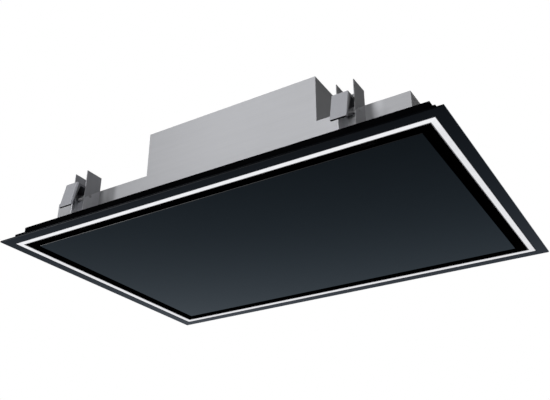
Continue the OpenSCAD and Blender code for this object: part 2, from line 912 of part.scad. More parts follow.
module bracket(sx, sy) {
    color(steel) at_corner(sx, sy) difference() {
        union() {
            for (m = [0, 1])
                mirror([m, 0, 0])
                    block([bracket_half - clamp_t, -bracket_reach, tray_top],
                          [bracket_half, 0, tray_top + bracket_h]);
            block([-bracket_half, -clamp_t, tray_top], [bracket_half, 0, tray_top + bracket_h]);
        }
        pin_hole(bracket_half);
        for (z = bracket_screw_z)
            translate([0, -clamp_t - cut, z]) rotate([-90, 0, 0])
                cylinder(r = screw_r + pin_play, h = clamp_t + 2 * cut);
    }
}

// A plate in the YZ plane, given as [outward, height] points, between two X places
module side_plate(x0, x1, points) {
    translate([x0, 0, 0]) rotate([90, 0, 90]) linear_extrude(height = x1 - x0)
        polygon([for (p = points) [-p[0], p[1]]]);
}

// Side of a clamp: flange along the front plate, arm along the top and eye at the pivot
module clamp_side() {
    skin = clamp_t / cos(clamp_lean);
    arm_low = clamp_top - clamp_arm_h;
    side_plate(clamp_half - clamp_t, clamp_half, [
        [clamp_reach - skin, clamp_top],
        [clamp_foot - skin, clamp_foot_z],
        [clamp_foot - clamp_flange_low, clamp_foot_z + clamp_t],
        [clamp_reach - clamp_flange, arm_low],
        [pivot_out + clamp_eye_r, arm_low],
        [pivot_out + clamp_eye_r, pivot_z],
        [pivot_out - clamp_eye_r, pivot_z],
        [pivot_out - clamp_tail, arm_low],
        [pivot_out - clamp_tail, clamp_top]
    ]);
    translate([clamp_half - clamp_t, -pivot_out, pivot_z]) rotate([0, 90, 0])
        cylinder(r = clamp_eye_r, h = clamp_t);
}

module clamp(sx, sy) {
    skin = clamp_t / cos(clamp_lean);
    color(steel) at_corner(sx, sy) difference() {
        union() {
            side_plate(-clamp_half, clamp_half, [
                [clamp_reach, clamp_top], [clamp_foot, clamp_foot_z],
                [clamp_foot - skin, clamp_foot_z], [clamp_reach - skin, clamp_top]
            ]);
            block([-clamp_half, -clamp_reach, clamp_top - clamp_t],
                  [clamp_half, clamp_tail - pivot_out, clamp_top]);
            block([-clamp_half, -clamp_foot, clamp_foot_z],
                  [clamp_half, clamp_lip - clamp_foot, clamp_foot_z + clamp_t]);
            both_x() clamp_side();
        }
        pin_hole(bracket_half);
    }
}

module clamp_pins() {
    color(aluminium) for (sx = [-1, 1], sy = [-1, 1])
        at_corner(sx, sy) translate([0, -pivot_out, pivot_z]) rotate([0, 90, 0]) {
            translate([0, 0, -bracket_half - play])
                cylinder(r = clamp_pin_r, h = bracket_w + 2 * play);
            for (s = [-1, 1])
                translate([0, 0, s * (bracket_half + play + clamp_head_t / 2) - clamp_head_t / 2])
                    cylinder(r = clamp_head_r, h = clamp_head_t);
        }
}

// Torsion spring: a straight leg, the turns and a leg that ends short of the bracket's web
spring_steps = spring_turns * spring_rings;
spring_route = concat(
    [[-spring_turns * spring_pitch / 2, -spring_arm, -spring_r]],
    [for (i = [0 : spring_steps])
        let (a = 360 * i / spring_rings - 90)
        [(i / spring_steps - 0.5) * spring_turns * spring_pitch, spring_r * cos(a), spring_r * sin(a)]],
    [[spring_turns * spring_pitch / 2, pivot_out - clamp_t - play, -spring_r]]
);

function unit(v) = v / norm(v);

function along(route, i) =
    unit(route[min(i + 1, len(route) - 1)] - route[max(i - 1, 0)]);

function wire_ring(route, i) =
    let (t = along(route, i),
         u = unit(cross(t, [1, 0, 0])),
         v = cross(t, u))
    [for (k = [0 : spring_sides - 1])
        route[i] + spring_wire / 2 * (cos(360 * k / spring_sides) * u + sin(360 * k / spring_sides) * v)];

module wire(route) {
    n = spring_sides;
    rings = len(route);
    points = [for (i = [0 : rings - 1]) each wire_ring(route, i)];
    sides = [for (i = [0 : rings - 2], k = [0 : n - 1])
        let (a = i * n + k, b = i * n + (k + 1) % n)
        each [[a, b, b + n], [a, b + n, a + n]]];
    caps = [for (k = [1 : n - 2]) each [[0, k + 1, k],
        [(rings - 1) * n, (rings - 1) * n + k, (rings - 1) * n + k + 1]]];
    polyhedron(points = points, faces = concat(sides, caps));
}

spring_gap = min([for (i = [0 : spring_steps], j = [0 : spring_steps])
    if (j - i > spring_rings / 2) norm(spring_route[i + 1] - spring_route[j + 1])]) - spring_wire;
echo(least_gap_between_turns = spring_gap);

module clamp_spring(sx, sy) {
    color("#b9bcc2") at_corner(sx, sy) translate([0, -pivot_out, pivot_z]) wire(spring_route);
}

// Screws of the brackets and of the fan box cover
module screw() {
    translate([0, 0, -screw_l]) cylinder(r = screw_r, h = screw_l);
    cylinder(r = screw_head_r, h = screw_head_t);
}

module screws() {
    color(aluminium) {
        for (sx = [-1, 1], sy = [-1, 1], z = bracket_screw_z)
            at_corner(sx, sy) translate([0, -clamp_t, z]) rotate([90, 0, 0]) screw();
        both_y() for (x = cover_screw_x)
            translate([x, flange_w / 2 - body_half[1], fan_top]) screw();
    }
}

trim_plate();
light_channel();
light_strips();
light_diffuser();
collector_tray();
filter_rails();
housing_front();
housing_back();
housing_end(-1);  // housing_end_left
housing_end(1);  // housing_end_right
housing_top_plate();
fan_box_end(-1);  // fan_box_end_left
fan_box_end(1);  // fan_box_end_right
fan_box_cover();
glass_panel();
panel_pan();
panel_edge_bars();
panel_hinge_leaves();
panel_hinge_brackets();
panel_hinge_pins();
touch_latch_bodies();
touch_latch_plunger(-1);  // touch_latch_plunger_left
touch_latch_plunger(1);  // touch_latch_plunger_right
filter_frame(-1);  // filter_frame_left
filter_frame(1);  // filter_frame_right
filter_mesh(-1);  // filter_mesh_left
filter_mesh(1);  // filter_mesh_right
filter_latch_slider(-1);  // filter_latch_left
filter_latch_slider(1);  // filter_latch_right
scroll_base();
scroll_wall();
scroll_top();
motor_stator();
motor_bearings();
motor_shaft();
motor_rotor_cup();
impeller();
outlet_duct();
damper_pin();
damper_flap(-1);  // damper_flap_left
damper_flap(1);  // damper_flap_right
control_box();
control_box_lid();
control_board();
led_driver();
cable_gland();
bracket(-1, -1);  // bracket_front_left
bracket(1, -1);  // bracket_front_right
bracket(-1, 1);  // bracket_back_left
bracket(1, 1);  // bracket_back_right
clamp(-1, -1);  // clamp_front_left
clamp(1, -1);  // clamp_front_right
clamp(-1, 1);  // clamp_back_left
clamp(1, 1);  // clamp_back_right
clamp_pins();
clamp_spring(-1, -1);  // clamp_spring_front_left
clamp_spring(1, -1);  // clamp_spring_front_right
clamp_spring(-1, 1);  // clamp_spring_back_left
clamp_spring(1, 1);  // clamp_spring_back_right
screws();
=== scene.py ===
"""Looks of the ceiling range hood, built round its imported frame. Lengths are in metres."""
import json
import math

import bmesh
import bpy
from mathutils import Matrix, Vector


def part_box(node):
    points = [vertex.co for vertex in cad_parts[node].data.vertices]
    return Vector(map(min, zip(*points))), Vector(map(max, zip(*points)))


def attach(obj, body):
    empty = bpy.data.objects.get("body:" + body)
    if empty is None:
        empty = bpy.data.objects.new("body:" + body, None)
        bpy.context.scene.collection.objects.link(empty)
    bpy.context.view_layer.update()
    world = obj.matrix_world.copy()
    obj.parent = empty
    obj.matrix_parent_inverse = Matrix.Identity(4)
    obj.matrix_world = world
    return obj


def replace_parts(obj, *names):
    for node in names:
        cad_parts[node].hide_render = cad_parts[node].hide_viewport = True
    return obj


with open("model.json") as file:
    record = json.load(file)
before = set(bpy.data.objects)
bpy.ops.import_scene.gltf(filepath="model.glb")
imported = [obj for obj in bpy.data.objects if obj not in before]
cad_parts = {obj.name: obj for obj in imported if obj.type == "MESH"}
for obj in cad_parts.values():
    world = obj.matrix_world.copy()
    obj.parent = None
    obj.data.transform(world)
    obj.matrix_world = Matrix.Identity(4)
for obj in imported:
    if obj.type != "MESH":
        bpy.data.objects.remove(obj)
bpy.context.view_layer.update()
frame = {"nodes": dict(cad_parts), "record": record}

MM = 0.001
X, Y, Z = Vector((1, 0, 0)), Vector((0, 1, 0)), Vector((0, 0, 1))

# Camera, solved from the corners of the trim and of the light line in the photograph
IMAGE_WIDTH_PX = 550
FOCAL_PX = 763.13
SENSOR = 36.0
CAMERA_AT = Vector((0.70678, -1.18116, -0.60811))
CAMERA_LOOKS = Vector((-0.459714, 0.759692, 0.459924))
CAMERA_CLIP = (0.01, 60)


def add_camera():
    data = bpy.data.cameras.new("camera")
    data.sensor_width = SENSOR
    data.lens = SENSOR * FOCAL_PX / IMAGE_WIDTH_PX
    data.clip_start, data.clip_end = CAMERA_CLIP
    camera = bpy.data.objects.new("camera", data)
    bpy.context.scene.collection.objects.link(camera)
    turn = CAMERA_LOOKS.to_track_quat("-Z", "Y")
    camera.matrix_world = Matrix.Translation(CAMERA_AT) @ turn.to_matrix().to_4x4()
    bpy.context.scene.camera = camera


# Materials. Noise lies mostly in the middle of 0 to 1, so tones are spread over that part alone.
NOISE_RUN = (0.3, 0.7)


class Paint:
    """A material under construction: its node tree and its one shader."""

    def __init__(self, name, color, roughness, metallic=0.0, specular=0.5):
        self.material = bpy.data.materials.new(name)
        self.material.use_nodes = True
        self.tree = self.material.node_tree
        self.tree.nodes.clear()
        self.shader = self.add("ShaderNodeBsdfPrincipled")
        out = self.add("ShaderNodeOutputMaterial")
        self.link(self.shader.outputs[0], out.inputs["Surface"])
        self.shader.inputs["Base Color"].default_value = (*color, 1)
        self.shader.inputs["Roughness"].default_value = roughness
        self.shader.inputs["Metallic"].default_value = metallic
        self.shader.inputs["Specular IOR Level"].default_value = specular
        self.color = color
        self.roughness = roughness

    def add(self, kind, **inputs):
        node = self.tree.nodes.new(kind)
        for name, value in inputs.items():
            node.inputs[name].default_value = value
        return node

    def link(self, source, target):
        self.tree.links.new(source, target)

    def split(self, kind):
        """The three parts of a point's place (Object) or of the way it faces (Normal)."""
        parts = self.add("ShaderNodeSeparateXYZ")
        self.link(self.add("ShaderNodeTexCoord").outputs[kind], parts.inputs[0])
        return parts.outputs

    def noise(self, scale, stretch=(1, 1, 1), detail=3.0):
        place = self.add("ShaderNodeTexCoord")
        mapping = self.add("ShaderNodeMapping", Scale=stretch)
        texture = self.add("ShaderNodeTexNoise", Scale=scale, Detail=detail)
        self.link(place.outputs["Object"], mapping.inputs["Vector"])
        self.link(mapping.outputs["Vector"], texture.inputs["Vector"])
        return texture.outputs["Fac"]

    def tint(self, value, low, high):
        """Colour that runs with a noise from low to high times the paint's own colour."""
        ramp = self.add("ShaderNodeValToRGB")
        for element, place, share in zip(ramp.color_ramp.elements, NOISE_RUN, (low, high)):
            element.position = place
            element.color = (*[c * share for c in self.color], 1)
        self.link(value, ramp.inputs["Fac"])
        return ramp.outputs["Color"]

    def math(self, operation, *values):
        node = self.add("ShaderNodeMath")
        node.operation = operation
        for socket, value in zip(node.inputs, values):
            if isinstance(value, (int, float)):
                socket.default_value = value
            else:
                self.link(value, socket)
        return node.outputs[0]

    def ramp(self, value, start, end, ends, smooth=True):
        """The value's run from start to end, spread over the two ends."""
        node = self.add("ShaderNodeMapRange")
        node.interpolation_type = "SMOOTHSTEP" if smooth else "LINEAR"
        node.inputs["From Min"].default_value = start
        node.inputs["From Max"].default_value = end
        node.inputs["To Min"].default_value = ends[0]
        node.inputs["To Max"].default_value = ends[1]
        self.link(value, node.inputs["Value"])
        return node.outputs["Result"]

    def mix(self, a, b, share):
        node = self.add("ShaderNodeMix")
        node.data_type = "RGBA"
        self.link(a, node.inputs["A"])
        self.link(b, node.inputs["B"])
        if isinstance(share, float):
            node.inputs["Factor"].default_value = share
        else:
            self.link(share, node.inputs["Factor"])
        return node.outputs["Result"]

    def scale(self, color, value):
        node = self.add("ShaderNodeVectorMath")
        node.operation = "SCALE"
        self.link(color, node.inputs[0])
        self.link(value, node.inputs["Scale"])
        return node.outputs[0]

    def set_color(self, socket):
        self.link(socket, self.shader.inputs["Base Color"])

    def set_roughness(self, value, swing):
        ends = (self.roughness - swing, self.roughness + swing)
        rough = self.ramp(value, *NOISE_RUN, ends, smooth=False)
        self.link(rough, self.shader.inputs["Roughness"])

    def bump(self, value, depth, strength):
        node = self.add("ShaderNodeBump", Strength=strength, Distance=depth)
        self.link(value, node.inputs["Height"])
        self.link(node.outputs["Normal"], self.shader.inputs["Normal"])


# Painted reflections and painted shade on the sheets, set by place: tones that copy how the sheets mirror
# each other and the studio.
# Over a fade or a run one tone gives way to the next. Bands lie right of a bracket's edge.
WALL_FADE = (0.4 * MM, 0.8 * MM)
WALL_TURN = (0.5, 0.8)
# Painted reflection low on a bracket's cheeks: how its upper edge climbs outwards, and its fade
FOOT_SLOPE = 0.8
FOOT_FADE = 1 * MM
CLAMP_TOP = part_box("clamp_front_right")[1].z
TOP_FADE = 0.5 * MM
# Painted shade in the hollow behind a clamp: where it starts and ends, measured down from the clamp's top
HOLLOW_RUN = (4 * MM, 15 * MM)
# Painted highlight along a clamp's side walls beside its slanted plate, giving way to painted shade
# further in
PLATE_SLOPE = math.tan(math.radians(11.5))
STRIP_RUN = (3.2 * MM, 5.0 * MM)
# Painted falloff of light towards both ends of the front sheet; a painted shadow band right of the left
# bracket and a painted reflection band right of the right one
FRONT_ENDS = ((-300 * MM, 20 * MM, (0.78, 1.06)), (240 * MM, 320 * MM, (1.0, 0.86)))
FRONT_BANDS = (("bracket_front_left", (7 * MM, 23 * MM, 33 * MM, 48 * MM), -0.47),
               ("bracket_front_right", (8 * MM, 17 * MM, 20 * MM, 36 * MM), 0.33))


def between_walls(paint, node, x):
    """1 between the two side walls of a bracket or clamp, 0 on their outer faces."""
    low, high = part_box(node)
    middle, half = (low.x + high.x) / 2, (high.x - low.x) / 2
    off = paint.math("ABSOLUTE", paint.math("SUBTRACT", paint.math("ABSOLUTE", x), middle))
    return paint.ramp(off, half - WALL_FADE[0], half - WALL_FADE[1], (0, 1))


def painted_hollow_shade(paint, z, tones):
    """Painted shade in the hollow behind a clamp: the tone runs from one to the other below the clamp's
    top.
    """
    return paint.ramp(z, CLAMP_TOP - HOLLOW_RUN[0], CLAMP_TOP - HOLLOW_RUN[1], tones)


def cheek_shade(foot, hollow):
    """Tone of a bracket: a painted reflection of the bright body makes it brighter low down, and painted
    shade darkens its hollow.
    """
    def factor(paint):
        x, y, z = paint.split("Object")
        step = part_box("housing_top_plate")[1].z
        out = paint.math("SUBTRACT", paint.math("ABSOLUTE", y), -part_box("housing_front")[0].y)
        height = paint.math("ADD", z, paint.math("MULTIPLY", out, FOOT_SLOPE))
        # Painted reflection below the body's top step, and painted shade in the hollow under the clamp
        outside = paint.ramp(height, step + FOOT_FADE, step - FOOT_FADE, (1.0, foot))
        inside = painted_hollow_shade(paint, z, hollow)
        under = paint.ramp(z, CLAMP_TOP + TOP_FADE, CLAMP_TOP - TOP_FADE, (0, 1))
        within = paint.math("MULTIPLY", between_walls(paint, "bracket_front_right", x), under)
        change = paint.math("MULTIPLY", within, paint.math("SUBTRACT", inside, outside))
        return paint.math("ADD", outside, change)
    return factor


def flank_shade(flank, wall, hollow):
    """Tone of a clamp: a painted highlight on its side walls by the plate, painted shade further in and
    deeper painted shade inside.
    """
    def factor(paint):
        sideways, _, upwards = paint.split("Normal")
        x, y, z = paint.split("Object")
        sides = paint.ramp(paint.math("ABSOLUTE", sideways), *WALL_TURN, (0, 1))
        undersides = paint.ramp(upwards, -WALL_TURN[0], -WALL_TURN[1], (0, 1))
        low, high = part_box("clamp_back_right")
        plate = paint.math("MULTIPLY", paint.math("SUBTRACT", z, low.z), PLATE_SLOPE)
        reach = paint.math("SUBTRACT", high.y, paint.math("ABSOLUTE", y))
        # Painted highlight beside the plate, painted shade on the walls further in and in the hollow
        outer = paint.ramp(paint.math("SUBTRACT", reach, plate), *STRIP_RUN, (flank, wall))
        inner = painted_hollow_shade(paint, z, (hollow, wall))
        between = between_walls(paint, "clamp_front_right", x)
        inward = paint.math("MULTIPLY", between, paint.math("SUBTRACT", inner, outer))
        change = paint.math("SUBTRACT", paint.math("ADD", outer, inward), 1.0)
        walls = paint.math("MAXIMUM", sides, undersides)
        return paint.math("ADD", paint.math("MULTIPLY", walls, change), 1.0)
    return factor


def front_shade(paint):
    """Tone of the long front sheet: painted light that falls off towards both ends, a painted shadow band
    beside the left bracket and a painted reflection band beside the right.
    """
    x = paint.split("Object")[0]
    tone = paint.math("MULTIPLY", *[paint.ramp(x, *run) for run in FRONT_ENDS])
    for bracket, places, change in FRONT_BANDS:
        start, full, fade, end = [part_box(bracket)[1].x + place for place in places]
        band = paint.math("MULTIPLY", paint.ramp(x, start, full, (0, change)),
                          paint.ramp(x, fade, end, (1, 0)))
        tone = paint.math("MULTIPLY", tone, paint.math("ADD", band, 1.0))
    return tone


# Grain of the finishes: noise scales to a metre, tones and depths
BRUSH_STRETCH = 0.02
BRUSH_LINES = 900
BRUSH_STREAKS = 130
BRUSH_PATCHES = 5
LINE_TONES = (0.93, 1.05)
STREAK_TONES = (0.94, 1.05)
STREAK_SHARE = 0.5
PATCH_SHARE = 0.4
FINE_DEPTH = 0.02 * MM
PEEL = 700
CLOUDS = 9
CLOUD_TONES = (0.82, 1.18)
WAVE = 2.2
WAVE_DEPTH = 0.4 * MM
HAZE = 26
HAZE_TONES = (0.9, 1.1)
RIDGES = 420
RIDGE_TONES = (0.55, 1.1)
RIDGE_DEPTH = 0.3 * MM
GLINTS = 90
GLINT_TONES = (0.8, 1.1)
GLINT_SHARE = 0.4


def brushed(name, color, roughness, along, metallic=0.03, specular=0.06, shade=None):
    """Sheet metal with fine brush lines along one axis and slow patches of tone."""
    paint = Paint(name, color, roughness, metallic, specular)
    stretch = [BRUSH_STRETCH if axis == along else 1.0 for axis in "XYZ"]
    lines = paint.noise(BRUSH_LINES, stretch, detail=2.0)
    streaks = paint.noise(BRUSH_STREAKS, stretch)
    patches = paint.noise(BRUSH_PATCHES, detail=2.0)
    grain = paint.mix(paint.tint(lines, *LINE_TONES), paint.tint(streaks, *STREAK_TONES), STREAK_SHARE)
    tone = paint.mix(grain, paint.tint(patches, *LINE_TONES), PATCH_SHARE)
    # Painted light and shade by place, where a shade is given
    if shade:
        tone = paint.scale(tone, shade(paint))
    paint.set_color(tone)
    paint.set_roughness(streaks, swing=0.07)
    paint.bump(lines, FINE_DEPTH, strength=0.4)
    return paint.material


def powder(name, color, roughness, specular=0.3, grain=0.03 * MM):
    """Powder-coated or moulded surface: orange peel, faint cloudiness."""
    paint = Paint(name, color, roughness, specular=specular)
    peel = paint.noise(PEEL, detail=2.0)
    clouds = paint.noise(CLOUDS)
    paint.set_color(paint.tint(clouds, *CLOUD_TONES))
    paint.set_roughness(clouds, swing=0.05)
    paint.bump(peel, grain, strength=0.5)
    return paint.material


# A painted highlight on an arris, where it faces the front, strongest at the left end
HIGHLIGHT_TONES = (0.8, 1.2)
HIGHLIGHT_TURN = (-0.3, -0.6)
HIGHLIGHT_RUN = (420 * MM, -500 * MM, (0.04, 1))


def dark_gloss(name, color, edge_color, roughness, front=None):
    """Backed dark glass or gloss lacquer: black seen straight on, pale at a low angle.

    An arris has a second colour, front, painted on as a highlight where it faces the front."""
    paint = Paint(name, color, roughness, metallic=1.0)
    paint.shader.inputs["Specular Tint"].default_value = (*edge_color, 1)
    wave = paint.noise(WAVE, detail=1.0)
    haze = paint.noise(HAZE)
    tone = paint.tint(haze, *HAZE_TONES)
    if front:
        paint.color = front
        # Painted highlight: the front colour where the arris faces the front, most at the left end
        turned = paint.ramp(paint.split("Normal")[1], *HIGHLIGHT_TURN, (0, 1))
        painted_highlight = paint.math("MULTIPLY", turned, paint.ramp(paint.split("Object")[0], *HIGHLIGHT_RUN))
        tone = paint.mix(tone, paint.tint(haze, *HIGHLIGHT_TONES), painted_highlight)
    paint.set_color(tone)
    paint.set_roughness(haze, swing=0.012)
    paint.bump(wave, WAVE_DEPTH, strength=0.04)
    return paint.material


# Light line: width of the diffuser, half width that glows, and the painted light that makes its near side
# glow brighter than the rest
LIGHT_WIDTH = 11.9 * MM
LIT_HALF = 4.8 * MM
LIT_FADE = 0.2 * MM
LIT_COLOR = (0.965, 0.975, 1.0)
LIT_NEAR = (40 * MM, 20 * MM)
LIT_SIDES = (0.88, 1.0)
SWELL = 60
SWELL_TONES = (0.98, 1.02)


def opal(name, color, glow):
    """Lit diffuser: opal plastic that glows along its middle and fades towards its two rims."""
    paint = Paint(name, color, roughness=0.45, specular=0.3)
    low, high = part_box("light_diffuser")
    places = paint.split("Object")
    sides = [paint.math("SUBTRACT", paint.math("ABSOLUTE", places[axis]), high[axis] - LIGHT_WIDTH / 2)
             for axis in (0, 1)]
    off = paint.math("ABSOLUTE", paint.math("MAXIMUM", *sides))
    lit = paint.ramp(off, LIT_HALF + LIT_FADE, LIT_HALF - LIT_FADE, (0, 1))
    swell = paint.noise(SWELL, detail=1.0)
    glows = paint.math("MULTIPLY", lit, paint.ramp(swell, *NOISE_RUN, SWELL_TONES))
    # Painted light: the near side of the light line glows brighter than the rest
    near = paint.ramp(places[1], low.y + LIT_NEAR[0], low.y + LIT_NEAR[1], LIT_SIDES)
    level = paint.math("MULTIPLY", glows, near)
    light = paint.add("ShaderNodeCombineColor")
    for channel, share in enumerate(LIT_COLOR):
        paint.link(paint.math("MULTIPLY", level, share), light.inputs[channel])
    paint.link(light.outputs[0], paint.shader.inputs["Emission Color"])
    paint.shader.inputs["Emission Strength"].default_value = glow
    paint.set_color(paint.tint(swell, *SWELL_TONES))
    paint.bump(swell, FINE_DEPTH, strength=0.3)
    return paint.material


def expanded_mesh(name, color):
    """Layers of expanded aluminium: crossed ridges in both diagonals."""
    paint = Paint(name, color, roughness=0.35, metallic=0.8)
    ridges = paint.noise(RIDGES, detail=1.0)
    glints = paint.noise(GLINTS, detail=2.0)
    paint.set_color(paint.mix(paint.tint(ridges, *RIDGE_TONES), paint.tint(glints, *GLINT_TONES),
                              GLINT_SHARE))
    paint.set_roughness(glints, swing=0.1)
    paint.bump(ridges, RIDGE_DEPTH, strength=0.7)
    return paint.material


# The finishes by name: colour, then gloss and grain as their functions take them
MATERIALS = {
    "black_trim": dark_gloss("black_trim", (0.001, 0.0013, 0.0018), (0.632, 0.66, 0.7), 0.1),
    "trim_arris": dark_gloss("trim_arris", (0.001, 0.0013, 0.0018), (0.4, 0.41, 0.43), 0.25,
                             (0.14, 0.145, 0.155)),
    "black_steel": powder("black_steel", (0.0012, 0.0013, 0.0016), 0.6, 0.0),
    "galvanised": brushed("galvanised", (0.46, 0.465, 0.485), 0.5, "X"),
    # Front sheet, with painted light and shade set by place
    "front_steel": brushed("front_steel", (0.46, 0.465, 0.485), 0.5, "X", shade=front_shade),
    # Ends, brackets and clamps come in a left and a right copy of the galvanised sheet, their colours
    # darkened by painted shade, each side by its own amount
    "end_left": brushed("end_left", (0.4, 0.404, 0.42), 0.5, "Y"),
    "end_right": brushed("end_right", (0.3, 0.303, 0.31), 0.5, "Y"),
    # Brackets: painted reflection low down, then painted shade at the top of the hollow and painted light
    # low in it
    "bracket_left": brushed("bracket_left", (0.4, 0.404, 0.425), 0.5, "Z",
                            shade=cheek_shade(1.5, (0.25, 2.2))),
    "bracket_right": brushed("bracket_right", (0.27, 0.272, 0.28), 0.5, "Z",
                             shade=cheek_shade(1.9, (0.25, 3.2))),
    # Clamps: painted highlight beside the plate, painted shade on the walls and painted shade in the
    # hollow
    "clamp_left": brushed("clamp_left", (0.315, 0.32, 0.345), 0.45, "Z", 0.05, 0.1,
                          shade=flank_shade(2.7, 0.7, 0.15)),
    "clamp_right": brushed("clamp_right", (0.345, 0.35, 0.375), 0.45, "Z", 0.05, 0.1,
                           shade=flank_shade(1.3, 0.3, 0.2)),
    "pin_steel": brushed("pin_steel", (0.36, 0.362, 0.37), 0.4, "X", 0.3, 0.3),
    "bright_steel": brushed("bright_steel", (0.5, 0.505, 0.52), 0.36, "X", 0.7, 0.4),
    "diffuser": opal("diffuser", (0.4, 0.4, 0.42), 0.73),
    "light_strip": powder("light_strip", (0.75, 0.73, 0.66), 0.5),
    "panel_glass": dark_gloss("panel_glass", (0.001, 0.0015, 0.002), (0.617, 0.657, 0.697), 0.08),
    "glass_arris": dark_gloss("glass_arris", (0.004, 0.004, 0.005), (0.4, 0.41, 0.43), 0.3,
                              (0.24, 0.245, 0.25)),
    "aluminium": brushed("aluminium", (0.55, 0.56, 0.58), 0.35, "Y", 0.75, 0.4),
    "mesh": expanded_mesh("mesh", (0.5, 0.51, 0.53)),
    "dark_plastic": powder("dark_plastic", (0.03, 0.031, 0.035), 0.45, 0.35),
    # Black of the clamp pads: rubber that also serves as painted shade under the clamps' lips
    "rubber_and_painted_shade": powder("rubber_and_painted_shade", (0.006, 0.006, 0.007), 0.7, 0.1, 0.06 * MM),
    "board": powder("board", (0.03, 0.11, 0.045), 0.4, 0.4),
    "driver_case": powder("driver_case", (0.7, 0.71, 0.73), 0.45, 0.4),
    "winding": brushed("winding", (0.33, 0.17, 0.08), 0.4, "Z", 0.6, 0.4),
    "bearing_steel": brushed("bearing_steel", (0.56, 0.57, 0.59), 0.22, "Z", 0.9, 0.5),
}

# Edges of the CAD nodes, in millimetres where a number stands alone
WELD_GAP = 0.001 * MM
FLAT_ANGLE = math.radians(0.1)
BEVEL_ANGLE = math.radians(50)
BEVEL_USUAL = 0.3
BEVEL = {"glass_panel": 0.8, "trim_plate": 0.5, "light_diffuser": 0.2, "impeller": 0,
         "light_strips": 0, "control_board": 0.2, "panel_pan": 0.2}
ARRIS = {"glass_panel": "glass_arris", "trim_plate": "trim_arris"}


def finish_and_painted_light_of(name, slot):
    """The finish of a CAD node: its slot's, or a copy of it with painted light and shade for its place in
    the light.
    """
    side = "left" if name.endswith("left") else "right"
    if name == "housing_front":
        return "front_steel"
    if name == "clamp_pins":
        return "pin_steel"
    if name.startswith("filter_mesh"):
        return "mesh"
    if "_end_" in name:
        return "end_" + side
    if name.startswith("bracket_"):
        return "bracket_" + side
    if name.startswith("clamp_") and slot == "galvanised":
        return "clamp_" + side
    return slot


def round_edges(piece, width):
    """A small rounding along the sharp edges, as every real piece has."""
    bevel = piece.modifiers.new("edge", "BEVEL")
    bevel.width = width
    bevel.segments = 2
    bevel.limit_method = "ANGLE"
    bevel.angle_limit = BEVEL_ANGLE
    return bevel


def dress_nodes():
    """Every CAD node gets its finish and the small edge radius of a real piece."""
    for row in frame["record"]["subparts"]:
        name = row["node"]
        node = frame["nodes"][name]
        node.data.materials.clear()
        node.data.materials.append(MATERIALS[finish_and_painted_light_of(name, row["material_slot"])])
        node.modifiers.new("weld", "WELD").merge_threshold = WELD_GAP
        width = BEVEL.get(name, BEVEL_USUAL) * MM
        if name.startswith("clamp_spring_"):
            node.modifiers.new("round", "SUBSURF").levels = 2
        elif width:
            flat = node.modifiers.new("flat", "DECIMATE")
            flat.decimate_type = "DISSOLVE"
            flat.angle_limit = FLAT_ANGLE
            bevel = round_edges(node, width)
            bevel.harden_normals = True
            if name in ARRIS:
                node.data.materials.append(MATERIALS[ARRIS[name]])
                bevel.material = 1


# Pieces that scene.py adds, in mesh code
SMOOTH_ANGLE = math.radians(35)


class Shape:
    """The mesh of one piece, put together from turned, extruded and repeated forms."""

    def __init__(self):
        self.mesh = bmesh.new()

    def turned(self, profile, steps, place=Matrix(), flutes=0, depth=0.0):
        """Radii and heights turned about Z; flutes press in evenly spaced grooves."""
        rings = []
        for radius, height in profile:
            ring = []
            for k in range(steps if radius else 1):
                angle = math.tau * k / steps
                r = radius - (depth if flutes and k % (steps // flutes) == 0 else 0)
                ring.append(self.mesh.verts.new(
                    place @ Vector((r * math.cos(angle), r * math.sin(angle), height))))
            rings.append(ring)
        for low, high in zip(rings, rings[1:]):
            for k in range(steps):
                corners = [low[k % len(low)], low[(k + 1) % len(low)],
                           high[(k + 1) % len(high)], high[k % len(high)]]
                self.mesh.faces.new(list(dict.fromkeys(corners)))

    def prism(self, outline, low, high, place=Matrix()):
        """A flat outline drawn in X and Y and extruded along Z."""
        ends = [[self.mesh.verts.new(place @ Vector((x, y, z))) for x, y in outline]
                for z in (low, high)]
        self.mesh.faces.new(ends[0][::-1])
        self.mesh.faces.new(ends[1])
        for k in range(len(outline)):
            n = (k + 1) % len(outline)
            self.mesh.faces.new([ends[0][k], ends[0][n], ends[1][n], ends[1][k]])

    def block(self, low, high):
        self.prism([(low[0], low[1]), (high[0], low[1]), (high[0], high[1]), (low[0], high[1])],
                   low[2], high[2])

    def hoop(self, low, high, section, place=Matrix()):
        """A section of growths and heights, closed, that runs round a rectangle."""
        rows = []
        for grow, height in section:
            corners = [(low[0] - grow, low[1] - grow), (high[0] + grow, low[1] - grow),
                       (high[0] + grow, high[1] + grow), (low[0] - grow, high[1] + grow)]
            rows.append([self.mesh.verts.new(place @ Vector((x, y, height))) for x, y in corners])
        for near, far in zip(rows, rows[1:] + rows[:1]):
            for k in range(4):
                n = (k + 1) % 4
                self.mesh.faces.new([near[k], near[n], far[n], far[k]])

    def copy(self, mesh, place):
        """A finished mesh set down at a place."""
        first = len(self.mesh.verts)
        self.mesh.from_mesh(mesh)
        self.mesh.verts.ensure_lookup_table()
        bmesh.ops.transform(self.mesh, matrix=place, verts=self.mesh.verts[first:])

    def closed(self, name):
        """The finished mesh, with its flat faces crisp and its round ones smooth."""
        bmesh.ops.recalc_face_normals(self.mesh, faces=self.mesh.faces)
        for face in self.mesh.faces:
            face.smooth = True
        mesh = bpy.data.meshes.new(name)
        self.mesh.to_mesh(mesh)
        self.mesh.free()
        mesh.set_sharp_from_angle(angle=SMOOTH_ANGLE)
        return mesh


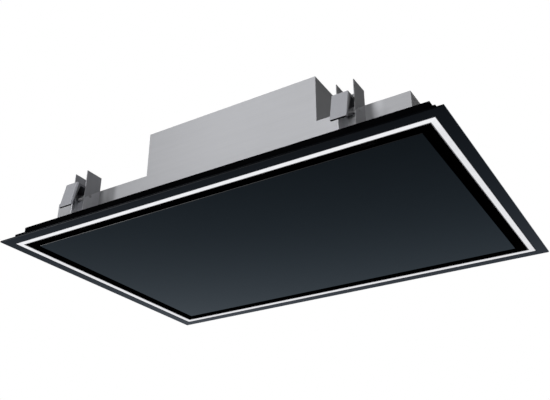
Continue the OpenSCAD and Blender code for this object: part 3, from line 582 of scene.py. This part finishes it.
def cut_away(shape, tool):
    """The mesh of shape with the form of tool cut out of it."""
    pair = [bpy.data.objects.new(name, item.closed(name))
            for name, item in (("cut_shape", shape), ("cut_tool", tool))]
    for item in pair:
        bpy.context.scene.collection.objects.link(item)
    pair[0].modifiers.new("cut", "BOOLEAN").object = pair[1]
    shown = pair[0].evaluated_get(bpy.context.evaluated_depsgraph_get())
    mesh = bpy.data.meshes.new_from_object(shown)
    for item in pair:
        bpy.data.objects.remove(item)
    return mesh


def add_piece(name, shape, body, slot, paint=None, edge=0.0):
    """A piece in the scene: it rides on a body and takes a slot's finish."""
    mesh = shape.closed(name)
    mesh.materials.append(MATERIALS[paint or slot])
    piece = bpy.data.objects.new(name, mesh)
    bpy.context.scene.collection.objects.link(piece)
    if edge:
        round_edges(piece, edge)
    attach(piece, body)
    return piece


def facing(at, way):
    """A place with its Z turned to a direction."""
    return Matrix.Translation(at) @ way.to_track_quat("Z", "Y").to_matrix().to_4x4()


def upright(y=0.0, z=0.0):
    """A place that stands a flat drawing up: its Y becomes height and it is extruded along Y."""
    return Matrix(((1, 0, 0, 0), (0, 0, 1, y), (0, 1, 0, z), (0, 0, 0, 1)))


# Pan-head screw with a cross recess
HEAD_R = 4 * MM
HEAD_T = 1.2 * MM
HEAD_RIM = 0.4 * MM
SHANK_R = 2 * MM
SHANK_L = 6 * MM
RECESS_L = 1.9 * MM
RECESS_W = 0.45 * MM
RECESS_T = 0.7 * MM
DOME_RINGS = 6
SCREW_STEPS = 24


def screw_mesh():
    head = Shape()
    profile = [(0, -SHANK_L), (SHANK_R, -SHANK_L), (SHANK_R, 0), (HEAD_R, 0)]
    for k in range(DOME_RINGS):
        angle = math.radians(90 * k / DOME_RINGS)
        profile.append((HEAD_R * math.cos(angle), HEAD_RIM + (HEAD_T - HEAD_RIM) * math.sin(angle)))
    head.turned(profile + [(0, HEAD_T)], SCREW_STEPS)
    cross = Shape()
    quarter = [(RECESS_L, -RECESS_W), (RECESS_L, RECESS_W), (RECESS_W, RECESS_W)]
    outline = [(x * c - y * s, x * s + y * c)
               for c, s in ((1, 0), (0, 1), (-1, 0), (0, -1)) for x, y in quarter]
    cross.prism(outline, HEAD_T - RECESS_T, HEAD_T + RECESS_T)
    return cut_away(head, cross)


# Rows of screws on the brackets, the cover's flanges and the control box lid
BRACKET_SHEET = 1.5 * MM
BRACKET_SCREWS = (14 * MM, 44 * MM)
COVER_SCREW_IN = 20 * MM
COVER_FLANGE = 12 * MM
LID_SCREW_IN = 7 * MM
LID_SCREW_SCALE = 0.75
CORNERS = [(sx, sy) for sx in (-1, 1) for sy in (-1, 1)]


def add_screws():
    screw = screw_mesh()
    heads, lid_heads = Shape(), Shape()
    body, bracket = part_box("housing_front"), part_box("bracket_front_right")
    tray_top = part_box("collector_tray")[1].z
    middle = (bracket[0].x + bracket[1].x) / 2
    wall = BRACKET_SHEET - body[0].y
    for sx, sy in CORNERS:
        for rise in BRACKET_SCREWS:
            at = Vector((sx * middle, sy * wall, tray_top + rise))
            heads.copy(screw, facing(at, sy * Y))
    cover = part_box("fan_box_cover")
    row = -body[0].y - COVER_FLANGE / 2
    columns = (cover[0].x + COVER_SCREW_IN, (cover[0].x + cover[1].x) / 2, cover[1].x - COVER_SCREW_IN)
    for x in columns:
        for sy in (-1, 1):
            heads.copy(screw, facing(Vector((x, sy * row, cover[1].z)), Z))
    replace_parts(add_piece("screw_heads", heads, "hood", "bright_steel"), "screws")
    low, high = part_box("control_box_lid")
    for sx, sy in CORNERS:
        at = Vector(((low.x if sx < 0 else high.x) - sx * LID_SCREW_IN,
                     (low.y if sy < 0 else high.y) - sy * LID_SCREW_IN, high.z))
        lid_heads.copy(screw, facing(at, Z) @ Matrix.Scale(LID_SCREW_SCALE, 4))
    add_piece("lid_screws", lid_heads, "hood", "bright_steel")


# Ribbed rubber pad under the lip of each clamp, whose black also serves as painted shade under the lip
PAD_T = 0.45 * MM
PAD_SIDE = 0.5 * MM
PAD_NEAR = 0.1 * MM
PAD_FAR = 3.9 * MM
PAD_RIBS = 4
PAD_RIB_SHARES = ((0.1, 0.6), (0.5, 1.0), (0.9, 0.6))


def add_clamp_pads():
    ribs = [(PAD_NEAR + (PAD_FAR - PAD_NEAR) * (k + along) / PAD_RIBS, -PAD_T * deep)
            for k in range(PAD_RIBS) for along, deep in PAD_RIB_SHARES]
    outline = [(PAD_FAR, 0), (PAD_NEAR, 0)] + ribs
    for sx, sy in CORNERS:
        corner = ("front_" if sy < 0 else "back_") + ("left" if sx < 0 else "right")
        low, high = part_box("clamp_" + corner)
        lip = low.y if sy < 0 else high.y
        place = Matrix(((0, 0, 1, low.x), (-sy, 0, 0, lip), (0, 1, 0, low.z), (0, 0, 0, 1)))
        pad = Shape()
        pad.prism(outline, PAD_SIDE, high.x - low.x - PAD_SIDE, place)
        add_piece("clamp_pad_" + corner, pad, "clamp_arm_" + corner, "dark_plastic", "rubber_and_painted_shade")


# Expanded aluminium that fills the slots of each filter: crossed slanting strands in two layers
STRAND_W = 0.9 * MM
STRAND_T = 0.5 * MM
STRAND_STEP = 7 * MM
STRAND_SLANT = 0.6
WEAVE_IN = 10 * MM
WEAVE_LAYERS = (1.2 * MM, 5.2 * MM)


def strand_outline(x, slant, half):
    """A strand that crosses the weave's middle line at x, cut off at the weave's sides."""
    ends = []
    for sy in (-1, 1):
        y = sy * half.y
        if abs(x + slant * y) > half.x:
            y = ((half.x if x + slant * y > 0 else -half.x) - x) / slant
        ends.append(Vector((x + slant * y, y)))
    along = ends[1] - ends[0]
    if along.length < STRAND_STEP:
        return None
    off = Vector((-along.y, along.x)).normalized() * STRAND_W / 2
    return [ends[0] - off, ends[0] + off, ends[1] + off, ends[1] - off]


def add_filter_weave(side):
    low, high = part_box("filter_mesh_" + side)
    half = Vector(((high.x - low.x) / 2 - WEAVE_IN, (high.y - low.y) / 2 - WEAVE_IN))
    middle = (low + high) / 2
    count = int((half.x + half.y * STRAND_SLANT) / STRAND_STEP)
    weave = Shape()
    for layer in WEAVE_LAYERS:
        for way in (-1, 1):
            rise = low.z + layer + (STRAND_T if way > 0 else 0)
            for k in range(-count, count + 1):
                outline = strand_outline(k * STRAND_STEP, way * STRAND_SLANT, half)
                if outline:
                    points = [(middle.x + p.x, middle.y + p.y) for p in outline]
                    weave.prism(points, rise, rise + STRAND_T)
    add_piece("filter_weave_" + side, weave, "hood", "aluminium")


# LED driver: cooling ribs along its top and a terminal block at its end
RIB_COUNT = 6
RIB_W = 1.6 * MM
RIB_T = 0.8 * MM
RIB_EDGE = 0.3 * MM
DRIVER_FOOT = 12 * MM
DRIVER_FOOT_T = 2 * MM
TERMINAL_L = 9 * MM
TERMINAL_W = 26 * MM
TERMINAL_H = 10 * MM
TERMINAL_EDGE = 0.2 * MM
SLOPE_SHARE = 0.5
TERMINAL_WELLS = 4
WELL_R = 2.1 * MM
WELL_STEPS = 16


def add_driver_details():
    low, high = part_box("led_driver")
    ribs, terminal = Shape(), Shape()
    pitch = (high.y - low.y) / RIB_COUNT
    for k in range(RIB_COUNT):
        y = low.y + (k + 0.5) * pitch
        ribs.block((low.x + 2 * DRIVER_FOOT, y - RIB_W / 2, high.z),
                   (high.x - 2 * DRIVER_FOOT, y + RIB_W / 2, high.z + RIB_T))
    add_piece("driver_ribs", ribs, "hood", "driver_case", edge=RIB_EDGE)
    middle = (low.y + high.y) / 2
    base = low.z + DRIVER_FOOT_T
    near = high.x - DRIVER_FOOT
    far = near + TERMINAL_L
    run, fall = TERMINAL_L * SLOPE_SHARE, TERMINAL_H * SLOPE_SHARE
    outline = [(near, 0), (far, 0), (far, TERMINAL_H - fall), (far - run, TERMINAL_H), (near, TERMINAL_H)]
    terminal.prism(outline, -TERMINAL_W / 2, TERMINAL_W / 2, upright(middle, base))
    wells = Shape()
    slope = Vector((fall, 0, run)).normalized()
    for k in range(TERMINAL_WELLS):
        y = middle + (k - (TERMINAL_WELLS - 1) / 2) * TERMINAL_W / TERMINAL_WELLS
        at = Vector((far - run / 2, y, base + TERMINAL_H - fall / 2))
        wells.turned([(0, -WELL_R), (WELL_R, -WELL_R), (WELL_R, WELL_R), (0, WELL_R)], WELL_STEPS,
                     facing(at, slope))
    block = Shape()
    block.copy(cut_away(terminal, wells), Matrix())
    add_piece("driver_terminals", block, "hood", "dark_plastic", edge=TERMINAL_EDGE)


# Cap nut of the cable gland, with its grip grooves
CAP_R = 10.5 * MM
CAP_T = 8.5 * MM
CAP_BORE = 6.0 * MM
CAP_GAP = 0.4 * MM
CAP_GROOVES = 12
CAP_GROOVE = 0.6 * MM
CAP_SHARES = ((0.82, 1), (0.95, 0.82), (1, 0.6), (1, 0))


def add_gland_cap():
    low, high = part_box("cable_gland")
    at = Vector((low.x + CAP_T + CAP_GAP, (low.y + high.y) / 2, (low.z + high.z) / 2))
    outside = [(CAP_R * wide, CAP_T * tall) for wide, tall in CAP_SHARES]
    cap = Shape()
    cap.turned([(CAP_BORE, CAP_T)] + outside + [(CAP_BORE, 0), (CAP_BORE, CAP_T)],
               4 * CAP_GROOVES, facing(at, -X), CAP_GROOVES, CAP_GROOVE)
    add_piece("gland_cap", cap, "hood", "dark_plastic")


# Spot welds that join the back sheet and the top plate to the flanges of their neighbours
WELD_R = 2.4 * MM
WELD_DEEP = 0.25 * MM
WELD_SHARES = ((0, 0), (0.5, 0.2), (0.75, 1), (1, 0.6), (1.15, -1))
WELD_STEPS = 20
WELD_PITCH = 70 * MM
WELD_IN = 6 * MM
PLATE_WELD_IN = 9 * MM
COVER_WELDS = 3


def add_spot_welds():
    low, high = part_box("housing_back")
    cover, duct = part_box("fan_box_cover"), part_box("outlet_duct")
    step_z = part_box("housing_top_plate")[1].z
    welds = Shape()
    profile = [(WELD_R * wide, WELD_DEEP * tall) for wide, tall in WELD_SHARES]
    count = int((high.x - low.x - 2 * WELD_IN) / WELD_PITCH)
    columns = [(low.x + high.x) / 2 + (k - count / 2) * WELD_PITCH for k in range(count + 1)]
    places = [(x, z) for x in columns for z in (low.z + WELD_IN, step_z - WELD_IN)]
    places += [(x, step_z + (k + 0.5) * (high.z - step_z) / COVER_WELDS)
               for x in (cover[0].x + WELD_IN, cover[1].x - WELD_IN) for k in range(COVER_WELDS)]
    free = WELD_PITCH / 4
    for x, z in places:
        if not (duct[0].x - free < x < duct[1].x + free and z > duct[0].z - WELD_IN):
            welds.turned(profile, WELD_STEPS, facing(Vector((x, high.y, z)), Y))
    for x in columns:
        if not cover[0].x - 2 * WELD_IN < x < cover[1].x + 2 * WELD_IN:
            for y in (high.y - PLATE_WELD_IN, PLATE_WELD_IN - high.y):
                welds.turned(profile, WELD_STEPS, facing(Vector((x, y, step_z)), Z))
    add_piece("spot_welds", welds, "hood", "galvanised", "end_left")


# Folded skirt of the control box lid, and the rolled bead round the duct's collar
SKIRT_T = 1.2 * MM
SKIRT_H = 9 * MM
SKIRT_EDGE = 0.3 * MM
DUCT_FLANGE = 5 * MM
BEAD_R = 1.6 * MM
BEAD_IN = 9 * MM
BEAD_POINTS = 6


def add_folds():
    low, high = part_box("control_box_lid")
    skirt = Shape()
    foot = high.z - SKIRT_H
    skirt.hoop(low, high, [(0, foot), (SKIRT_T, foot), (SKIRT_T, high.z), (0, high.z)])
    add_piece("lid_skirt", skirt, "hood", "galvanised", edge=SKIRT_EDGE)
    low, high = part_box("outlet_duct")
    bead = Shape()
    middle = high.y - BEAD_IN
    turns = [math.pi * k / BEAD_POINTS for k in range(BEAD_POINTS + 1)]
    section = [(BEAD_R * math.sin(a), middle - BEAD_R * math.cos(a)) for a in turns]
    bead.hoop((low.x + DUCT_FLANGE, low.z + DUCT_FLANGE), (high.x - DUCT_FLANGE, high.z - DUCT_FLANGE),
              section, upright())
    add_piece("duct_bead", bead, "hood", "galvanised")


def add_pieces():
    add_screws()
    add_clamp_pads()
    add_filter_weave("left")
    add_filter_weave("right")
    add_driver_details()
    add_gland_cap()
    add_spot_welds()
    add_folds()


# Floor, lamps and world. A lamp has its place, what it points at, its width and its watts.
FLOOR_Z = -2.2
FLOOR_HALF = 14.0
FLOOR_COLOR = (0.35, 0.35, 0.35)
FLOOR_GRAIN = 3
FLOOR_TONES = (0.98, 1.02)
# Painted shade on the floor's glow: dim near the hood and full further back along Y
FLOOR_RUN = (2.4, 6.0, (0.72, 1.0))
AMBIENT = (0.045, 0.0455, 0.0475)
LAMPS = (("key", (-2.0, -5.6, 1.2), (0, 0, 0.1), 2.6, 265),
         ("fill", (0.7, -1.9, -0.6), (0.1, 0, 0.08), 0.8, 8.0),
         ("top", (-0.8, 1.6, 3.2), (0, 0, 0.1), 2.4, 78),
         ("back", (-1.4, 3.6, 0.9), (0, 0, 0.1), 2.0, 80))


def camera_sees(tree):
    """1 for rays that show the background: camera, glossy and transmission rays."""
    path = tree.nodes.new("ShaderNodeLightPath")
    seen = path.outputs["Is Camera Ray"]
    for kind in ("Is Glossy Ray", "Is Transmission Ray"):
        either = tree.nodes.new("ShaderNodeMath")
        either.operation = "MAXIMUM"
        tree.links.new(seen, either.inputs[0])
        tree.links.new(path.outputs[kind], either.inputs[1])
        seen = either.outputs[0]
    return seen


def add_floor():
    mesh = bpy.data.meshes.new("floor")
    h = FLOOR_HALF
    mesh.from_pydata([(-h, -h, FLOOR_Z), (h, -h, FLOOR_Z), (h, h, FLOOR_Z), (-h, h, FLOOR_Z)],
                     [], [(0, 1, 2, 3)])
    floor = bpy.data.objects.new("floor", mesh)
    bpy.context.scene.collection.objects.link(floor)
    paint = Paint("floor", FLOOR_COLOR, roughness=0.8, specular=0.1)
    paint.set_color(paint.tint(paint.noise(FLOOR_GRAIN), *FLOOR_TONES))
    paint.shader.inputs["Emission Color"].default_value = (1, 1, 1, 1)
    # Painted shade: the floor glows less near the hood than further back
    level = paint.ramp(paint.split("Object")[1], *FLOOR_RUN)
    paint.link(paint.math("MULTIPLY", camera_sees(paint.tree), level),
               paint.shader.inputs["Emission Strength"])
    mesh.materials.append(paint.material)


def set_world():
    world = bpy.data.worlds.new("studio")
    bpy.context.scene.world = world
    world.use_nodes = True
    tree = world.node_tree
    tree.nodes.clear()
    out = tree.nodes.new("ShaderNodeOutputWorld")
    mix = tree.nodes.new("ShaderNodeMixShader")
    tree.links.new(camera_sees(tree), mix.inputs[0])
    for slot, color in ((1, AMBIENT), (2, (1, 1, 1))):
        light = tree.nodes.new("ShaderNodeBackground")
        light.inputs["Color"].default_value = (*color, 1)
        light.inputs["Strength"].default_value = 1.0
        tree.links.new(light.outputs[0], mix.inputs[slot])
    tree.links.new(mix.outputs[0], out.inputs["Surface"])


def add_lamp(name, at, towards, size, power):
    data = bpy.data.lights.new(name, "AREA")
    data.shape = "DISK"
    data.size = size
    data.energy = power
    lamp = bpy.data.objects.new(name, data)
    lamp.visible_glossy = False
    bpy.context.scene.collection.objects.link(lamp)
    direction = (Vector(towards) - Vector(at)).to_track_quat("-Z", "Y")
    lamp.matrix_world = Matrix.Translation(at) @ direction.to_matrix().to_4x4()


def add_light():
    set_world()
    for lamp in LAMPS:
        add_lamp(*lamp)


add_camera()
dress_nodes()
add_pieces()
add_floor()
add_light()

bpy.context.scene.view_settings.view_transform = "Standard"
